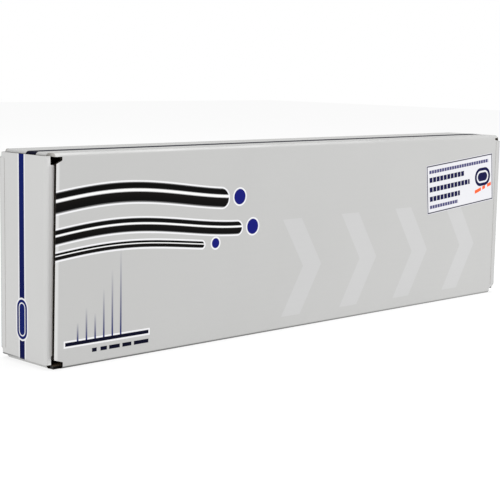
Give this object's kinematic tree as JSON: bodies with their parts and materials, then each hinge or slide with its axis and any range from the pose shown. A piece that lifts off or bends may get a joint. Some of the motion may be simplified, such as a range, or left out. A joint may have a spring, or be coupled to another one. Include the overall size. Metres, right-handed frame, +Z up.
{
  "type": "tuck end carton",
  "caption": "Long flat printed board carton with a tuck-in end leaf at each end, dust flaps, a glued seam and a paper label.",
  "frame": {"origin": "middle of the carton's underside, the narrow bottom panel that it stands on", "axes": "+X along the carton's length to its right end, +Y from the front panel to the back panel, +Z up"},
  "size_m": [0.312, 0.0361, 0.09],
  "materials": {
    "printed_board": "satin coated",
    "label_paper": "satin"
  },
  "bodies": {
    "carton": {"carton_body": "printed_board", "label": "label_paper"},
    "left_end": {"left_leaf": "printed_board"},
    "right_end": {"right_leaf": "printed_board"}
  },
  "joints": [
    {"name": "left_leaf_hinge", "type": "hinge", "parent": "carton", "child": "left_end", "pos_m": [-0.15525, 0.01725, 0.045], "axis": [0, 0, -1], "range_deg": [0, 180]},
    {"name": "right_leaf_hinge", "type": "hinge", "parent": "carton", "child": "right_end", "pos_m": [0.15525, -0.01725, 0.045], "axis": [0, 0, -1], "range_deg": [0, 180]}
  ]
}
